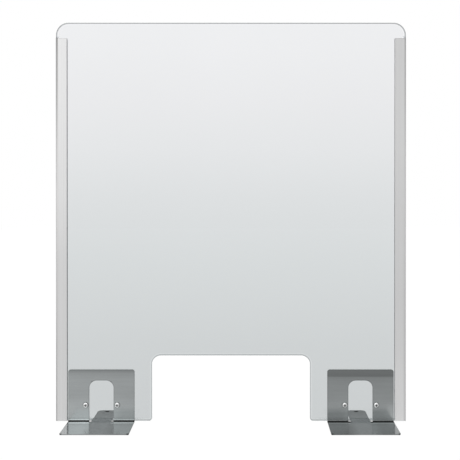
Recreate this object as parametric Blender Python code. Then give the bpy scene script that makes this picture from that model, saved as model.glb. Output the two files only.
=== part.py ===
"""Desk privacy panel: a clear acrylic screen with a pass-through, two aluminium edge channels and
two folded steel foot brackets.

Metres, +Z up. The front faces -Y. X = 0 is the screen's centre line, Z = 0 is the desk top that the
pads stand on, and Y = 0 is midway between the front edge of the feet and the tips of the tongues. Left
means -X.
"""

import math

import bmesh
import bpy
from mathutils import Vector

# Overall size and the small gap kept between touching pieces
WIDTH = 0.700
HEIGHT = 0.800
GAP = 0.0003

# Acrylic sheet
SHEET_THICKNESS = 0.005
SHEET_TOP_RADIUS = 0.0245
CUTOUT_WIDTH = 0.317
CUTOUT_TOP = 0.134
CUTOUT_TOP_RADIUS = 0.0185
LEG_CORNER_RADIUS = 0.0055
NOTCH_RADIUS = 0.0005

# Aluminium edge channels and their soft liners
CHANNEL_FLANGE = 0.022
CHANNEL_WALL = 0.0010
CHANNEL_TOP_DROP = 0.031
CHANNEL_EDGE_RADIUS = 0.0004
LINER_WALL = 0.0006
LINER_SETBACK = 0.002

# Folded steel brackets
STEEL = 0.0015
BEND_RADIUS = 0.002
BEND_STEPS = 8
NEUTRAL_AXIS = 0.4
BRACKET_WIDTH = 0.1327
BRACKET_SIDE_INSET = 0.0244
FOOT_REACH = 0.085
PLATE_TOP = 0.106
PLATE_CORNER_RADIUS = 0.005
FOOT_CORNER_RADIUS = 0.005
OPENING_WIDTH = 0.0485
OPENING_TOP = 0.084
OPENING_RADIUS = 0.015
TONGUE_WIDTH = 0.039
TONGUE_REACH = 0.0815
TONGUE_CORNER_RADIUS = 0.010
TONGUE_HOLE_DIAMETER = 0.006
TONGUE_HOLE_INSET = 0.0095
RELIEF_DEPTH = 0.001
RELIEF_RADIUS = 0.0015

# Anti-slip pads
PAD_THICKNESS = 0.0010
PAD_CORNER_RADIUS = 0.004
FOOT_PAD_SIZE = (0.110, 0.018)
FOOT_PAD_CENTRE_Y = -0.066
TONGUE_PAD_SIZE = (0.028, 0.034)
TONGUE_PAD_CENTRE_Y = 0.042

# M5 pan head screws, sleeves, washers and cap nuts
SCREW_HALF_SPACING = 0.0315
SCREW_HEIGHT = 0.035
SHANK_DIAMETER = 0.005
SCREW_LENGTH = 0.016
HEAD_DIAMETER = 0.0100
HEAD_HEIGHT = 0.0037
HEAD_RIM_HEIGHT = 0.0016
HEAD_FULLNESS = 0.6
SHANK_TIP_CHAMFER = 0.0006
RECESS_SPAN = 0.0048
RECESS_WING = 0.0015
RECESS_DEPTH = 0.0022
RECESS_TAPER = 0.55
SLEEVE_WALL = 0.0007
WASHER_DIAMETER = 0.012
WASHER_THICKNESS = 0.0010
NUT_ACROSS_FLATS = 0.008
NUT_HEX_HEIGHT = 0.0045
NUT_HEIGHT = 0.0100
NUT_DOME_DIAMETER = 0.0074
NUT_DOME_ROOT = 0.00225
NUT_CHAMFER = 0.0005
NUT_FACE_DIAMETER = 0.0076

# Smoothness of round shapes
ARC_STEP = math.radians(9)
FEWEST_ARC_STEPS = 3
HOLE_SEGMENTS = 32
TURNED_SEGMENTS = 24
DOME_STEPS = 6
SHARP_ANGLE = math.radians(35)
MERGE = 1e-6

# Places worked out from the sizes above
STEEL_BOTTOM = PAD_THICKNESS + GAP
STEEL_TOP = STEEL_BOTTOM + STEEL
BEND_START = (FOOT_REACH - TONGUE_REACH) / 2
PLATE_FRONT = BEND_START + BEND_RADIUS
PLATE_BACK = PLATE_FRONT + STEEL
SHEET_FRONT = PLATE_BACK + GAP
SHEET_BACK = SHEET_FRONT + SHEET_THICKNESS
SHEET_BOTTOM = STEEL_TOP + GAP
CHANNEL_LAYERS = CHANNEL_WALL + LINER_WALL + 2 * GAP
CHANNEL_TOP = HEIGHT - CHANNEL_TOP_DROP
BRACKET_CENTRE = WIDTH / 2 - BRACKET_SIDE_INSET - BRACKET_WIDTH / 2
BEND_LENGTH = math.pi / 2 * (BEND_RADIUS + NEUTRAL_AXIS * STEEL)
CLEARANCE_HOLE = SHANK_DIAMETER + 2 * GAP
SLEEVE_HOLE = CLEARANCE_HOLE + 2 * SLEEVE_WALL + 2 * GAP
HEAD_SEAT = PLATE_FRONT - GAP
WASHER_FRONT = SHEET_BACK + GAP
NUT_FRONT = WASHER_FRONT + WASHER_THICKNESS + GAP

MATERIALS = {
    "acrylic": {"colour": (0.86, 0.88, 0.89), "roughness": 0.03, "metallic": 0.0, "alpha": 0.30},
    "aluminium": {"colour": (0.60, 0.60, 0.60), "roughness": 0.38, "metallic": 1.0},
    "steel": {"colour": (0.36, 0.38, 0.38), "roughness": 0.30, "metallic": 1.0},
    "bright_steel": {"colour": (0.72, 0.72, 0.70), "roughness": 0.18, "metallic": 1.0},
    "rubber": {"colour": (0.03, 0.03, 0.03), "roughness": 0.85, "metallic": 0.0},
    "soft_pvc": {"colour": (0.55, 0.56, 0.57), "roughness": 0.60, "metallic": 0.0},
    "nylon": {"colour": (0.80, 0.80, 0.77), "roughness": 0.45, "metallic": 0.0},
}


def clear_scene():
    for scene_object in list(bpy.data.objects):
        bpy.data.objects.remove(scene_object, do_unlink=True)


def make_material(name, colour, roughness, metallic, alpha=1.0):
    material = bpy.data.materials.new(name)
    material.use_nodes = True
    surface = material.node_tree.nodes["Principled BSDF"]
    surface.inputs["Base Color"].default_value = (*colour, 1.0)
    surface.inputs["Roughness"].default_value = roughness
    surface.inputs["Metallic"].default_value = metallic
    surface.inputs["Alpha"].default_value = alpha
    material.diffuse_color = (*colour, alpha)
    return material


def mesh_of(shape, name):
    """Turns a bmesh into a mesh with smooth rounds and crisp edges."""
    bmesh.ops.recalc_face_normals(shape, faces=shape.faces[:])
    mesh = bpy.data.meshes.new(name)
    shape.to_mesh(mesh)
    shape.free()
    mesh.shade_smooth()
    mesh.set_sharp_from_angle(angle=SHARP_ANGLE)
    return mesh


def place(name, mesh, material, location=(0, 0, 0), rotation=(0, 0, 0), parent=None):
    """Adds one named piece. Pieces of one kind may share a mesh, so the material goes on the object."""
    piece = bpy.data.objects.new(name, mesh)
    bpy.context.scene.collection.objects.link(piece)
    if not mesh.materials:
        mesh.materials.append(None)
    piece.material_slots[0].link = "OBJECT"
    piece.material_slots[0].material = material
    piece.location = location
    piece.rotation_euler = rotation
    piece.parent = parent
    return piece


def group(name):
    empty = bpy.data.objects.new(name, None)
    bpy.context.scene.collection.objects.link(empty)
    return empty


def rounded_corner(before, here, after, radius):
    """Points of one outline corner: the corner itself, or an arc of the given radius."""
    if radius == 0:
        return [here]
    to_before = (before - here).normalized()
    to_after = (after - here).normalized()
    half_angle = to_before.angle(to_after) / 2
    centre = here + (to_before + to_after).normalized() * (radius / math.sin(half_angle))
    start = here + to_before * (radius / math.tan(half_angle)) - centre
    end = here + to_after * (radius / math.tan(half_angle)) - centre
    first = math.atan2(start.y, start.x)
    sweep = math.atan2(start.x * end.y - start.y * end.x, start.dot(end))
    steps = max(FEWEST_ARC_STEPS, math.ceil(abs(sweep) / ARC_STEP))
    angles = [first + sweep * step / steps for step in range(steps + 1)]
    return [centre + Vector((math.cos(a), math.sin(a))) * radius for a in angles]


def rounded_outline(corners):
    """Closed outline through corners given as (u, v, radius)."""
    points = []
    for index, (u, v, radius) in enumerate(corners):
        before = Vector(corners[index - 1][:2])
        after = Vector(corners[(index + 1) % len(corners)][:2])
        points += rounded_corner(before, Vector((u, v)), after, radius)
    return points


def circle(u, v, diameter):
    angles = [2 * math.pi * step / HOLE_SEGMENTS for step in range(HOLE_SEGMENTS)]
    return [Vector((u + math.cos(a) * diameter / 2, v + math.sin(a) * diameter / 2)) for a in angles]


def rounded_rectangle(size, radius):
    half_u = size[0] / 2
    half_v = size[1] / 2
    signs = ((-1, -1), (1, -1), (1, 1), (-1, 1))
    return rounded_outline([(su * half_u, sv * half_v, radius) for su, sv in signs])


def filled(outlines):
    """Flat bmesh bounded by the first outline, with the others as holes."""
    shape = bmesh.new()
    for outline in outlines:
        corners = [shape.verts.new((point.x, point.y, 0)) for point in outline]
        for start, end in zip(corners, corners[1:] + corners[:1]):
            shape.edges.new((start, end))
    bmesh.ops.triangle_fill(shape, use_beauty=True, edges=shape.edges[:])
    return shape


def thickened(shape, thickness):
    """Extrudes a flat bmesh along +Z into a closed solid."""
    grown = bmesh.ops.extrude_face_region(shape, geom=shape.faces[:], use_keep_orig=True)
    moved = [item for item in grown["geom"] if isinstance(item, bmesh.types.BMVert)]
    bmesh.ops.translate(shape, vec=(0, 0, thickness), verts=moved)
    return shape


def turned(profile):
    """Closed solid from (radius, height) points turned about Z. A profile off the axis is a ring."""
    shape = bmesh.new()
    verts = [shape.verts.new((radius, 0, height)) for radius, height in profile]
    pairs = list(zip(verts, verts[1:]))
    if profile[0][0] > 0:
        pairs.append((verts[-1], verts[0]))
    edges = [shape.edges.new(pair) for pair in pairs]
    bmesh.ops.spin(
        shape,
        geom=verts + edges,
        axis=(0, 0, 1),
        cent=(0, 0, 0),
        angle=2 * math.pi,
        steps=TURNED_SEGMENTS,
    )
    bmesh.ops.remove_doubles(shape, verts=shape.verts[:], dist=MERGE)
    return shape


def ring(inner_diameter, outer_diameter, height):
    """Ring about Z whose lower face is at Z = 0."""
    inner = inner_diameter / 2
    outer = outer_diameter / 2
    return turned([(inner, 0), (outer, 0), (outer, height), (inner, height)])


def combined(base, steps, name):
    """Applies (operation, bmesh) steps to a base bmesh as exact Booleans and returns the mesh."""
    helpers = []
    body = bpy.data.objects.new("body", mesh_of(base, "body"))
    bpy.context.scene.collection.objects.link(body)
    for operation, shape in steps:
        helper = bpy.data.objects.new("helper", mesh_of(shape, "helper"))
        bpy.context.scene.collection.objects.link(helper)
        modifier = body.modifiers.new(operation, "BOOLEAN")
        modifier.operation = operation
        modifier.object = helper
        helpers.append(helper)
    graph = bpy.context.evaluated_depsgraph_get()
    mesh = bpy.data.meshes.new_from_object(body.evaluated_get(graph))
    mesh.name = name
    mesh.materials.clear()
    mesh.set_sharp_from_angle(angle=SHARP_ANGLE)
    for helper in [body, *helpers]:
        bpy.data.objects.remove(helper, do_unlink=True)
    return mesh


def screw_places():
    """(side and position words, x) of each screw, from left to right."""
    left = -BRACKET_CENTRE
    right = BRACKET_CENTRE
    return [
        ("left_outer", left - SCREW_HALF_SPACING),
        ("left_inner", left + SCREW_HALF_SPACING),
        ("right_inner", right - SCREW_HALF_SPACING),
        ("right_outer", right + SCREW_HALF_SPACING),
    ]


def sheet_outline():
    """Outer edge of the acrylic: rounded top, side notches for the channels, bottom pass-through."""
    half = WIDTH / 2
    notch = half - CHANNEL_LAYERS
    notch_top = CHANNEL_TOP + GAP
    cut = CUTOUT_WIDTH / 2
    right_side = [
        (cut, SHEET_BOTTOM, LEG_CORNER_RADIUS),
        (notch, SHEET_BOTTOM, NOTCH_RADIUS),
        (notch, notch_top, 0),
        (half, notch_top, NOTCH_RADIUS),
        (half, HEIGHT, SHEET_TOP_RADIUS),
    ]
    left_side = [(-u, v, radius) for u, v, radius in reversed(right_side)]
    cutout_top = [(-cut, CUTOUT_TOP, CUTOUT_TOP_RADIUS), (cut, CUTOUT_TOP, CUTOUT_TOP_RADIUS)]
    return rounded_outline(right_side + left_side + cutout_top)


def add_sheet(materials, parent):
    holes = [circle(x, SCREW_HEIGHT, SLEEVE_HOLE) for _, x in screw_places()]
    mesh = mesh_of(thickened(filled([sheet_outline(), *holes]), SHEET_THICKNESS), "acrylic_sheet")
    place("privacy_panel", mesh, materials["acrylic"], (0, SHEET_BACK, 0), (math.pi / 2, 0, 0), parent)


def channel_outline(side, outer_x, flange, wall, front, back, radius):
    """U section in plan, open towards the centre line, for the side with sign -1 or +1."""
    tip = outer_x - flange
    inner = outer_x - wall
    corners = [
        (tip, front, radius),
        (outer_x, front, radius),
        (outer_x, back, radius),
        (tip, back, radius),
        (tip, back - wall, 0),
        (inner, back - wall, 0),
        (inner, front + wall, 0),
        (tip, front + wall, 0),
    ]
    return rounded_outline([(side * x, y, r) for x, y, r in corners])


def add_edge_channel(word, side, materials, parent):
    front = SHEET_FRONT - CHANNEL_LAYERS
    back = SHEET_BACK + CHANNEL_LAYERS
    outline = channel_outline(
        side, WIDTH / 2, CHANNEL_FLANGE, CHANNEL_WALL, front, back, CHANNEL_EDGE_RADIUS
    )
    mesh = mesh_of(thickened(filled([outline]), CHANNEL_TOP - SHEET_BOTTOM), "edge_channel")
    place(f"edge_channel_{word}", mesh, materials["aluminium"], (0, 0, SHEET_BOTTOM), parent=parent)


def add_channel_liner(word, side, materials, parent):
    inset = CHANNEL_WALL + GAP
    front = SHEET_FRONT - GAP - LINER_WALL
    back = SHEET_BACK + GAP + LINER_WALL
    flange = CHANNEL_FLANGE - inset - LINER_SETBACK
    outline = channel_outline(side, WIDTH / 2 - inset, flange, LINER_WALL, front, back, 0)
    bottom = SHEET_BOTTOM + LINER_SETBACK
    mesh = mesh_of(thickened(filled([outline]), CHANNEL_TOP - LINER_SETBACK - bottom), "channel_liner")
    place(f"channel_liner_{word}", mesh, materials["soft_pvc"], (0, 0, bottom), parent=parent)


def flat_length(height):
    """Distance along the flat blank from the start of the bend to a height on the folded plate."""
    return BEND_LENGTH + height - STEEL_TOP - BEND_RADIUS


def slot_outline():
    """The U-shaped slot that frees the tongue from the plate, on the flat blank."""
    outer = OPENING_WIDTH / 2
    inner = TONGUE_WIDTH / 2
    top = flat_length(OPENING_TOP)
    return rounded_outline(
        [
            (-outer, -RELIEF_DEPTH, RELIEF_RADIUS),
            (-inner, -RELIEF_DEPTH, RELIEF_RADIUS),
            (-inner, TONGUE_REACH, TONGUE_CORNER_RADIUS),
            (inner, TONGUE_REACH, TONGUE_CORNER_RADIUS),
            (inner, -RELIEF_DEPTH, RELIEF_RADIUS),
            (outer, -RELIEF_DEPTH, RELIEF_RADIUS),
            (outer, top, OPENING_RADIUS),
            (-outer, top, OPENING_RADIUS),
        ]
    )


def blank_outline():
    half = BRACKET_WIDTH / 2
    top = flat_length(PLATE_TOP)
    return rounded_outline(
        [
            (-half, -FOOT_REACH, FOOT_CORNER_RADIUS),
            (half, -FOOT_REACH, FOOT_CORNER_RADIUS),
            (half, top, PLATE_CORNER_RADIUS),
            (-half, top, PLATE_CORNER_RADIUS),
        ]
    )


def on_tongue(x, along):
    """True within the rounded outline of the tongue, which stays flat."""
    past_side = max(0, abs(x) - TONGUE_WIDTH / 2 + TONGUE_CORNER_RADIUS)
    past_end = max(0, along - TONGUE_REACH + TONGUE_CORNER_RADIUS)
    return math.hypot(past_side, past_end) < TONGUE_CORNER_RADIUS + GAP


def folded(point):
    """Carries a point (x, along the blank, through the thickness) of the flat blank to the bracket."""
    x, along, through = point
    if along <= 0 or on_tongue(x, along):
        return Vector((x, BEND_START + along, STEEL_BOTTOM + through))
    radius = BEND_RADIUS + STEEL - through
    centre_z = STEEL_TOP + BEND_RADIUS
    if along >= BEND_LENGTH:
        return Vector((x, BEND_START + radius, centre_z + along - BEND_LENGTH))
    angle = along / BEND_LENGTH * math.pi / 2
    return Vector((x, BEND_START + radius * math.sin(angle), centre_z - radius * math.cos(angle)))


def bracket_mesh():
    hole_height = flat_length(SCREW_HEIGHT)
    holes = [circle(sign * SCREW_HALF_SPACING, hole_height, CLEARANCE_HOLE) for sign in (-1, 1)]
    holes.append(circle(0, TONGUE_REACH - TONGUE_HOLE_INSET, TONGUE_HOLE_DIAMETER))
    blank = filled([blank_outline(), slot_outline(), *holes])
    for step in range(BEND_STEPS + 1):
        bmesh.ops.bisect_plane(
            blank,
            geom=blank.verts[:] + blank.edges[:] + blank.faces[:],
            dist=MERGE,
            plane_co=(0, BEND_LENGTH * step / BEND_STEPS, 0),
            plane_no=(0, 1, 0),
        )
    thickened(blank, STEEL)
    for vertex in blank.verts:
        vertex.co = folded(vertex.co)
    return mesh_of(blank, "bracket")


def add_bracket(word, side, mesh, materials, parent):
    place(f"bracket_{word}", mesh, materials["steel"], (side * BRACKET_CENTRE, 0, 0), parent=parent)


def add_pads(word, side, materials, parent):
    for name, size, centre_y in (
        ("foot_pad", FOOT_PAD_SIZE, FOOT_PAD_CENTRE_Y),
        ("tongue_pad", TONGUE_PAD_SIZE, TONGUE_PAD_CENTRE_Y),
    ):
        outline = rounded_rectangle(size, PAD_CORNER_RADIUS)
        mesh = mesh_of(thickened(filled([outline]), PAD_THICKNESS), name)
        spot = (side * BRACKET_CENTRE, centre_y, 0)
        place(f"{name}_{word}", mesh, materials["rubber"], spot, parent=parent)


def recess_cutter():
    """Tapered cross that sinks a cross recess into the crown of a screw head. It reaches as far above
    the crown as below it, and has its nominal span at the crown."""
    span = RECESS_SPAN / 2
    wing = RECESS_WING / 2
    quarter = [(span, -wing), (span, wing), (wing, wing)]
    outline = []
    for cos, sin in ((1, 0), (0, 1), (-1, 0), (0, -1)):
        outline += [Vector((cos * u - sin * v, sin * u + cos * v)) for u, v in quarter]
    shape = thickened(filled([outline]), 2 * RECESS_DEPTH)
    floor = HEAD_HEIGHT - RECESS_DEPTH
    for vertex in shape.verts:
        scale = RECESS_TAPER + (1 - RECESS_TAPER) * vertex.co.z / RECESS_DEPTH
        vertex.co.x *= scale
        vertex.co.y *= scale
        vertex.co.z += floor
    return shape


def screw_mesh():
    """Pan head screw along Z: seat at Z = 0, crown up, shank down."""
    head = HEAD_DIAMETER / 2
    shank = SHANK_DIAMETER / 2
    crown = HEAD_HEIGHT - HEAD_RIM_HEIGHT
    profile = [(0, -SCREW_LENGTH), (shank - SHANK_TIP_CHAMFER, -SCREW_LENGTH)]
    profile += [(shank, -SCREW_LENGTH + SHANK_TIP_CHAMFER), (shank, 0), (head, 0)]
    for step in range(DOME_STEPS):
        angle = math.pi / 2 * step / DOME_STEPS
        height = HEAD_RIM_HEIGHT + crown * math.sin(angle)
        profile.append((head * math.cos(angle) ** HEAD_FULLNESS, height))
    profile.append((0, HEAD_HEIGHT))
    return combined(turned(profile), [("DIFFERENCE", recess_cutter())], "screw")


def cap_nut_mesh():
    """Domed cap nut along Z: seat at Z = 0, dome up, blind bore open at the seat."""
    corner = NUT_ACROSS_FLATS / math.sqrt(3)
    dome = NUT_DOME_DIAMETER / 2
    angles = [math.pi / 3 * step for step in range(6)]
    hexagon = [Vector((corner * math.cos(a), corner * math.sin(a))) for a in angles]
    face = NUT_FACE_DIAMETER / 2
    outside = corner + NUT_CHAMFER
    slope = NUT_CHAMFER * (outside - face) / (corner - face)
    limits = turned(
        [
            (0, -slope),
            (face, 0),
            (outside, slope),
            (outside, NUT_HEX_HEIGHT - slope),
            (face, NUT_HEX_HEIGHT),
            (0, NUT_HEX_HEIGHT + slope),
        ]
    )
    shoulder = NUT_HEIGHT - dome
    profile = [(0, NUT_DOME_ROOT), (dome, NUT_DOME_ROOT)]
    for step in range(DOME_STEPS):
        angle = math.pi / 2 * step / DOME_STEPS
        profile.append((dome * math.cos(angle), shoulder + dome * math.sin(angle)))
    profile.append((0, NUT_HEIGHT))
    bore = CLEARANCE_HOLE / 2
    depth = HEAD_SEAT + SCREW_LENGTH + GAP - NUT_FRONT
    drill = turned([(0, -depth), (bore, -depth), (bore, depth), (0, depth)])
    steps = [("INTERSECT", limits), ("UNION", turned(profile)), ("DIFFERENCE", drill)]
    return combined(thickened(filled([hexagon]), NUT_HEX_HEIGHT), steps, "cap_nut")


def add_fixings(materials, parent):
    """A screw, sleeve, washer and cap nut at each of the four fixing points."""
    screw = screw_mesh()
    nut = cap_nut_mesh()
    sleeve_outer = CLEARANCE_HOLE + 2 * SLEEVE_WALL
    sleeve_length = SHEET_THICKNESS - 2 * GAP
    sleeve = mesh_of(ring(CLEARANCE_HOLE, sleeve_outer, sleeve_length), "sleeve")
    washer = mesh_of(ring(CLEARANCE_HOLE, WASHER_DIAMETER, WASHER_THICKNESS), "washer")
    forward = (math.pi / 2, 0, 0)
    backward = (-math.pi / 2, 0, 0)
    for word, x in screw_places():
        for kind, mesh, material, y, turn in (
            ("screw", screw, "bright_steel", HEAD_SEAT, forward),
            ("sleeve", sleeve, "nylon", SHEET_FRONT + GAP, backward),
            ("rear_washer", washer, "nylon", WASHER_FRONT, backward),
            ("cap_nut", nut, "bright_steel", NUT_FRONT, backward),
        ):
            spot = (x, y, SCREW_HEIGHT)
            place(f"{kind}_{word}", mesh, materials[material], spot, turn, parent)


def main():
    clear_scene()
    materials = {name: make_material(name, **look) for name, look in MATERIALS.items()}
    assembly = group("desk_privacy_panel")
    add_sheet(materials, assembly)
    bracket = bracket_mesh()
    for word, side in (("left", -1), ("right", 1)):
        add_edge_channel(word, side, materials, assembly)
        add_channel_liner(word, side, materials, assembly)
        add_bracket(word, side, bracket, materials, assembly)
        add_pads(word, side, materials, assembly)
    add_fixings(materials, assembly)


main()
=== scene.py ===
import math

import bmesh
import bpy
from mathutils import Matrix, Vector


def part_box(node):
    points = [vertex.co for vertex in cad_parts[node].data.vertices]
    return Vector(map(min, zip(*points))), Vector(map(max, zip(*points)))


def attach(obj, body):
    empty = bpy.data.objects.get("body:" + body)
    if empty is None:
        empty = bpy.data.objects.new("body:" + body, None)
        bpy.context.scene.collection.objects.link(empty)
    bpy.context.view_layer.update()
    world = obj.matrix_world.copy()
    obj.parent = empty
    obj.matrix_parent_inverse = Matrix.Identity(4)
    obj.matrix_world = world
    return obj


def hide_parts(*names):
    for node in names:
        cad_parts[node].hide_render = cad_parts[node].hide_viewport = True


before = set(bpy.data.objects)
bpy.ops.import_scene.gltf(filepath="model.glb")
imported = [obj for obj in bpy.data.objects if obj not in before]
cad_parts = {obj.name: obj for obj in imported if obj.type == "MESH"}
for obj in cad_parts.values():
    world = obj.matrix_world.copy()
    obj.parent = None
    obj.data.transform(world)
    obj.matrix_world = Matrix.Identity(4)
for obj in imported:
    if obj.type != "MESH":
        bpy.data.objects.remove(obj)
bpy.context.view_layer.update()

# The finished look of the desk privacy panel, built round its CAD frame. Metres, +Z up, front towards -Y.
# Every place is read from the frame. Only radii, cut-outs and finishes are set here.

MM = 0.001
GAP = 0.3 * MM

# Acrylic sheet
SHEET_TOP_RADIUS = 24.5 * MM
CUTOUT_HALF_WIDTH = 158.5 * MM
CUTOUT_TOP = 134 * MM
CUTOUT_TOP_RADIUS = 18.5 * MM
LEG_CORNER_RADIUS = 5.5 * MM
NOTCH_INSET = 2.2 * MM
NOTCH_RADIUS = 0.5 * MM
SLEEVE_HOLE = 7.6 * MM
SHEET_EASE = 0.35 * MM
SHEET_LINE = 2.1 * MM
SHEET_RING = 4.4 * MM

# Aluminium edge channels
CHANNEL_WALL = 1.0 * MM
CHANNEL_CORNER_RADIUS = 0.9 * MM
CHANNEL_TIP_RADIUS = 0.25 * MM
CHANNEL_ROOT_RADIUS = 0.2 * MM
CHANNEL_BACK_SETBACK = 0.4 * MM
CHANNEL_EASE = 0.15 * MM
CHANNEL_RIM = 0.4 * MM

# Folded steel brackets
STEEL = 1.5 * MM
BEND_RADIUS = 2.0 * MM
BEND_STEPS = 24
NEUTRAL_AXIS = 0.4
PLATE_CORNER_RADIUS = 5 * MM
FOOT_CORNER_RADIUS = 5 * MM
OPENING_WIDTH = 48.5 * MM
OPENING_TOP = 84 * MM
OPENING_RADIUS = 15 * MM
TONGUE_WIDTH = 39 * MM
TONGUE_CORNER_RADIUS = 10 * MM
TONGUE_HOLE = 6 * MM
TONGUE_HOLE_INSET = 9.5 * MM
RELIEF_DEPTH = 1.0 * MM
RELIEF_RADIUS = 1.5 * MM
CLEARANCE_HOLE = 5.6 * MM
STEEL_EASE = 0.18 * MM
STEEL_RIM = 2.0 * MM

# Pads
PAD_CORNER_RADIUS = 4 * MM
PAD_EASE = 0.25 * MM

# Screws, washers and cap nuts
SHANK_RADIUS = 2.5 * MM
HEAD_RIM_HEIGHT = 1.6 * MM
HEAD_HEIGHT = 3.7 * MM
HEAD_FULLNESS = 0.6
HEAD_EASE = 0.2 * MM
SHANK_TIP_CHAMFER = 0.6 * MM
RECESS_SPAN = 4.8 * MM
RECESS_WING = 1.5 * MM
RECESS_DEPTH = 2.2 * MM
RECESS_TAPER = 0.55
RECESS_LIP = 0.2 * MM
DOME_MARGIN = 0.04 * MM
WASHER_EASE = 0.2 * MM
NUT_ACROSS_FLATS = 8 * MM
NUT_HEX_HEIGHT = 4.5 * MM
NUT_DOME_RADIUS = 3.7 * MM
NUT_DOME_ROOT = 2.25 * MM
NUT_CHAMFER = 0.5 * MM
NUT_FACE_RADIUS = 3.8 * MM
NUT_BORE_DEPTH = 7.6 * MM
DOME_STEPS = 14
TURNED_SEGMENTS = 72

ARC_STEP = math.radians(4)
HOLE_SEGMENTS = 72
SHARP_ANGLE = math.radians(32)
MERGE = 1e-7

# Places read from the CAD frame
SHEET_LOW, SHEET_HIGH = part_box("privacy_panel")
CHANNEL_LOW, CHANNEL_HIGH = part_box("edge_channel_right")
BRACKET_LOW, BRACKET_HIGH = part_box("bracket_right")
BRACKET_WIDTH = BRACKET_HIGH.x - BRACKET_LOW.x
BEND_START = SHEET_LOW.y - GAP - STEEL - BEND_RADIUS
FOOT_REACH = BEND_START - BRACKET_LOW.y
TONGUE_REACH = BRACKET_HIGH.y - BEND_START
STEEL_BOTTOM = BRACKET_LOW.z
STEEL_TOP = STEEL_BOTTOM + STEEL
BEND_LENGTH = math.pi / 2 * (BEND_RADIUS + NEUTRAL_AXIS * STEEL)
SIDES = (("left", -1), ("right", 1))
SCREW_WORDS = ("left_outer", "left_inner", "right_inner", "right_outer")


# ---------------------------------------------------------------- mesh tools


def centre_of(node):
    low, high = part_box(node)
    return (low + high) / 2


def rounded_corner(before, here, after, radius):
    """Points of one outline corner: the corner itself, or an arc of the given radius."""
    if radius == 0:
        return [here]
    to_before = (before - here).normalized()
    to_after = (after - here).normalized()
    half_angle = to_before.angle(to_after) / 2
    centre = here + (to_before + to_after).normalized() * (radius / math.sin(half_angle))
    start = here + to_before * (radius / math.tan(half_angle)) - centre
    end = here + to_after * (radius / math.tan(half_angle)) - centre
    first = math.atan2(start.y, start.x)
    sweep = math.atan2(start.x * end.y - start.y * end.x, start.dot(end))
    steps = max(4, math.ceil(abs(sweep) / ARC_STEP))
    angles = [first + sweep * step / steps for step in range(steps + 1)]
    return [centre + Vector((math.cos(a), math.sin(a))) * radius for a in angles]


def rounded_outline(corners):
    """Closed outline through corners given as (u, v, radius)."""
    points = []
    for index, (u, v, radius) in enumerate(corners):
        before = Vector(corners[index - 1][:2])
        after = Vector(corners[(index + 1) % len(corners)][:2])
        points += rounded_corner(before, Vector((u, v)), after, radius)
    return points


def circle(u, v, diameter):
    angles = [2 * math.pi * step / HOLE_SEGMENTS for step in range(HOLE_SEGMENTS)]
    return [Vector((u + math.cos(a) * diameter / 2, v + math.sin(a) * diameter / 2)) for a in angles]


def turned_to(outline, anticlockwise):
    """The outline in the asked direction, so that material lies on its left."""
    area = sum(a.cross(b) for a, b in zip(outline, outline[1:] + outline[:1]))
    return outline if (area > 0) == anticlockwise else outline[::-1]


def offset(outline, inset):
    """Moves a closed outline into the material on its left."""
    moved = []
    for index, here in enumerate(outline):
        along_in = (here - outline[index - 1]).normalized()
        along_out = (outline[(index + 1) % len(outline)] - here).normalized()
        first = Vector((-along_in.y, along_in.x))
        second = Vector((-along_out.y, along_out.x))
        moved.append(here + (first + second) * (inset / (1 + first.dot(second))))
    return moved


def slab(outlines, profile, edge_bands=()):
    """Closed plate from outlines, the first one outside and the rest holes. The profile runs through its
    thickness as (inset, height, rim). Faces of the edge bands get the second material."""
    shape = bmesh.new()
    rim_layer = shape.verts.layers.float.new("rim")
    ends = ([], [])
    for index, outline in enumerate(outlines):
        outline = turned_to(outline, index == 0)
        rings = []
        for inset, height, rim in profile:
            ring = [shape.verts.new((p.x, p.y, height)) for p in offset(outline, inset)]
            for vertex in ring:
                vertex[rim_layer] = rim
            rings.append(ring)
        for band, (low, high) in enumerate(zip(rings, rings[1:])):
            for a, b, c, d in zip(low, low[1:] + low[:1], high[1:] + high[:1], high):
                shape.faces.new((a, b, c, d)).material_index = int(band in edge_bands)
        for edges, ring in zip(ends, (rings[0], rings[-1])):
            edges += [shape.edges.get(pair) for pair in zip(ring, ring[1:] + ring[:1])]
    for edges in ends:
        bmesh.ops.triangle_fill(shape, use_beauty=True, edges=edges)
    return shape


def eased(thickness, ease):
    """Plain profile with both edges broken by a small round."""
    slope = ease * (1 - math.sqrt(0.5))
    low = [(ease, 0, 1), (slope, slope, 1), (0, ease, 1)]
    return low + [(inset, thickness - height, rim) for inset, height, rim in reversed(low)]


def ringed(profile, inset):
    """The same profile with one more ring on each face, where the rim has faded out."""
    return [(inset, profile[0][1], 0), *profile, (inset, profile[-1][1], 0)]


def turned(profile):
    """Closed solid from (radius, height) points turned about Z. A profile off the axis is a ring."""
    shape = bmesh.new()
    verts = [shape.verts.new((radius, 0, height)) for radius, height in profile]
    pairs = list(zip(verts, verts[1:]))
    if profile[0][0] > 0:
        pairs.append((verts[-1], verts[0]))
    edges = [shape.edges.new(pair) for pair in pairs]
    bmesh.ops.spin(
        shape,
        geom=verts + edges,
        axis=(0, 0, 1),
        cent=(0, 0, 0),
        angle=2 * math.pi,
        steps=TURNED_SEGMENTS,
    )
    bmesh.ops.remove_doubles(shape, verts=shape.verts[:], dist=MERGE)
    return shape


def mesh_of(shape, name):
    """Turns a bmesh into a mesh with smooth rounds and crisp edges."""
    bmesh.ops.recalc_face_normals(shape, faces=shape.faces[:])
    mesh = bpy.data.meshes.new(name)
    shape.to_mesh(mesh)
    shape.free()
    mesh.shade_smooth()
    mesh.set_sharp_from_angle(angle=SHARP_ANGLE)
    return mesh


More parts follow.
